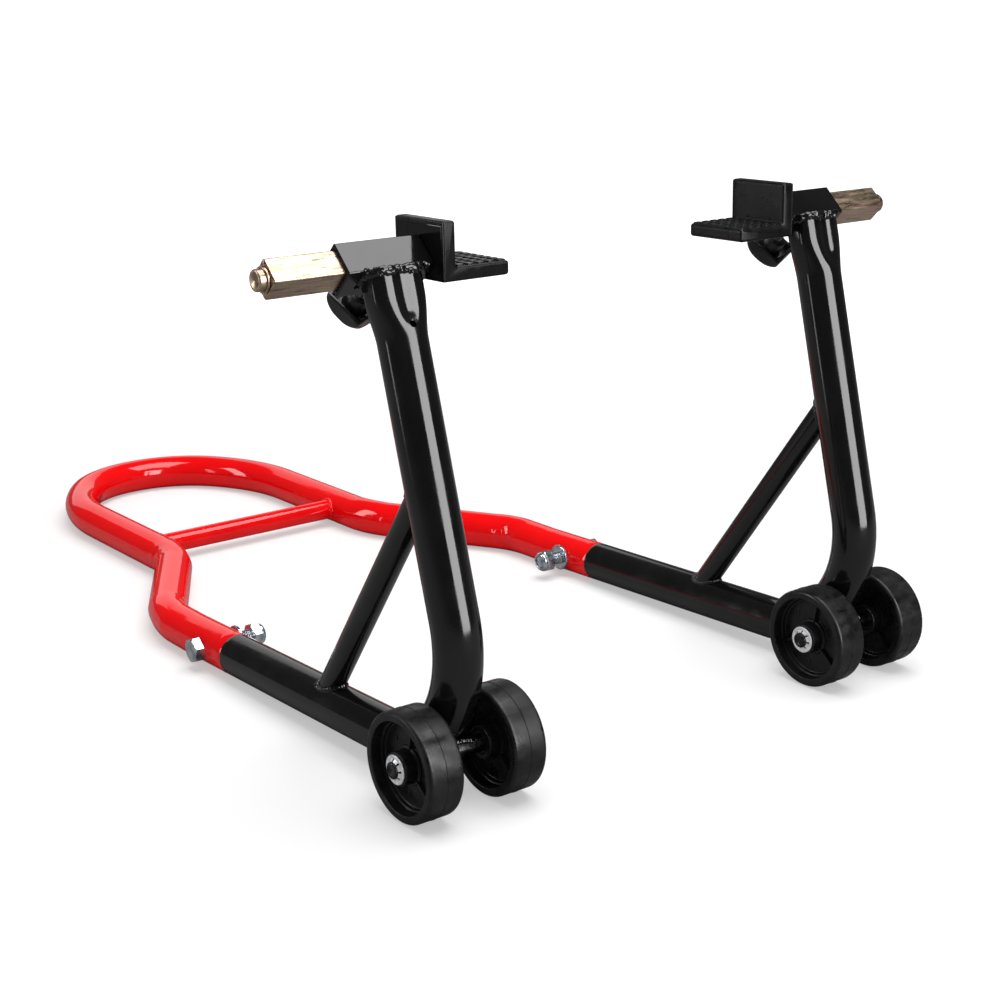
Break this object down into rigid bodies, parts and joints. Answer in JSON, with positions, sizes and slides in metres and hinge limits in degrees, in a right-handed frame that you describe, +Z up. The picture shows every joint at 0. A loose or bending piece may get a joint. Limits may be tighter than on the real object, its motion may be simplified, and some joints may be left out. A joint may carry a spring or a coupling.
{
  "type": "motorcycle paddock stand",
  "caption": "Rear paddock stand: red loop handle, black bent side frames on paired wheels, and sliding, swivelling L-shaped rubber saddles with clamp knobs.",
  "frame": {"origin": "on the floor under the middle of the stand's bounding box", "axes": "+X to the right frame, +Y from the wheels towards the handle's loop, +Z up"},
  "size_m": [0.587, 0.9606, 0.3967],
  "materials": {
    "red_enamel": "gloss enamel",
    "black_enamel": "gloss enamel",
    "bare_steel": "plain steel",
    "dark_steel": "blackened steel",
    "wheel_plastic": "moulded satin",
    "bright_zinc": "bright zinc plate",
    "yellow_zinc": "yellow passivated zinc",
    "black_rubber": "moulded rubber",
    "knob_plastic": "moulded satin"
  },
  "bodies": {
    "frame": {"handle_tube": "red_enamel", "handle_cross_brace": "red_enamel", "side_tube_l": "black_enamel", "joint_spigot_l": "bare_steel", "diagonal_brace_l": "black_enamel", "saddle_housing_l": "black_enamel", "clamp_nut_l": "black_enamel", "axle_l": "dark_steel", "push_washer_outer_l": "bright_zinc", "push_washer_inner_l": "bright_zinc", "joint_bolt_l": "bright_zinc", "joint_washer_l": "bright_zinc", "joint_nut_l": "bright_zinc", "side_tube_r": "black_enamel", "joint_spigot_r": "bare_steel", "diagonal_brace_r": "black_enamel", "saddle_housing_r": "black_enamel", "clamp_nut_r": "black_enamel", "axle_r": "dark_steel", "push_washer_outer_r": "bright_zinc", "push_washer_inner_r": "bright_zinc", "joint_bolt_r": "bright_zinc", "joint_washer_r": "bright_zinc", "joint_nut_r": "bright_zinc"},
    "outer_wheel_l": {"wheel_outer_l": "wheel_plastic"},
    "inner_wheel_l": {"wheel_inner_l": "wheel_plastic"},
    "bar_l": {"slide_bar_l": "yellow_zinc"},
    "saddle_l": {"pivot_shaft_l": "yellow_zinc", "shaft_ring_l": "yellow_zinc", "saddle_bracket_l": "black_enamel", "saddle_rubber_l": "black_rubber"},
    "stud_l": {"clamp_stud_l": "dark_steel"},
    "knob_l": {"clamp_knob_l": "knob_plastic"},
    "outer_wheel_r": {"wheel_outer_r": "wheel_plastic"},
    "inner_wheel_r": {"wheel_inner_r": "wheel_plastic"},
    "bar_r": {"slide_bar_r": "yellow_zinc"},
    "saddle_r": {"pivot_shaft_r": "yellow_zinc", "shaft_ring_r": "yellow_zinc", "saddle_bracket_r": "black_enamel", "saddle_rubber_r": "black_rubber"},
    "stud_r": {"clamp_stud_r": "dark_steel"},
    "knob_r": {"clamp_knob_r": "knob_plastic"}
  },
  "joints": [
    {"name": "outer_wheel_l_spin", "type": "hinge", "parent": "frame", "child": "outer_wheel_l", "pos_m": [-0.2304, -0.44031, 0.04], "axis": [1, 0, 0], "continuous": true},
    {"name": "inner_wheel_l_spin", "type": "hinge", "parent": "frame", "child": "inner_wheel_l", "pos_m": [-0.1604, -0.44031, 0.04], "axis": [1, 0, 0], "continuous": true},
    {"name": "bar_l_slide", "type": "slide", "parent": "frame", "child": "bar_l", "axis": [1, 0, 0], "range_m": [0, 0.055]},
    {"name": "saddle_l_swivel", "type": "hinge", "parent": "bar_l", "child": "saddle_l", "pos_m": [-0.1654, -0.37031, 0.3682], "axis": [1, 0, 0], "continuous": true},
    {"name": "clamp_l_travel", "type": "slide", "parent": "frame", "child": "stud_l", "axis": [0, 0.7071, -0.7071], "range_m": [0, 0.0025]},
    {"name": "clamp_l_turn", "type": "hinge", "parent": "stud_l", "child": "knob_l", "pos_m": [-0.1995, -0.33991, 0.3378], "axis": [0, 0.7071, -0.7071], "range_deg": [0, 720]},
    {"name": "outer_wheel_r_spin", "type": "hinge", "parent": "frame", "child": "outer_wheel_r", "pos_m": [0.2304, -0.44031, 0.04], "axis": [1, 0, 0], "continuous": true},
    {"name": "inner_wheel_r_spin", "type": "hinge", "parent": "frame", "child": "inner_wheel_r", "pos_m": [0.1604, -0.44031, 0.04], "axis": [1, 0, 0], "continuous": true},
    {"name": "bar_r_slide", "type": "slide", "parent": "frame", "child": "bar_r", "axis": [-1, 0, 0], "range_m": [0, 0.055]},
    {"name": "saddle_r_swivel", "type": "hinge", "parent": "bar_r", "child": "saddle_r", "pos_m": [0.1654, -0.37031, 0.3682], "axis": [1, 0, 0], "continuous": true},
    {"name": "clamp_r_travel", "type": "slide", "parent": "frame", "child": "stud_r", "axis": [0, 0.7071, -0.7071], "range_m": [0, 0.0025]},
    {"name": "clamp_r_turn", "type": "hinge", "parent": "stud_r", "child": "knob_r", "pos_m": [0.1995, -0.33991, 0.3378], "axis": [0, 0.7071, -0.7071], "range_deg": [0, 720]}
  ],
  "couplings": [
    {"joint": "clamp_l_turn", "follows": "clamp_l_travel", "rad_per_m": 5026.5},
    {"joint": "clamp_r_turn", "follows": "clamp_r_travel", "rad_per_m": 5026.5}
  ]
}
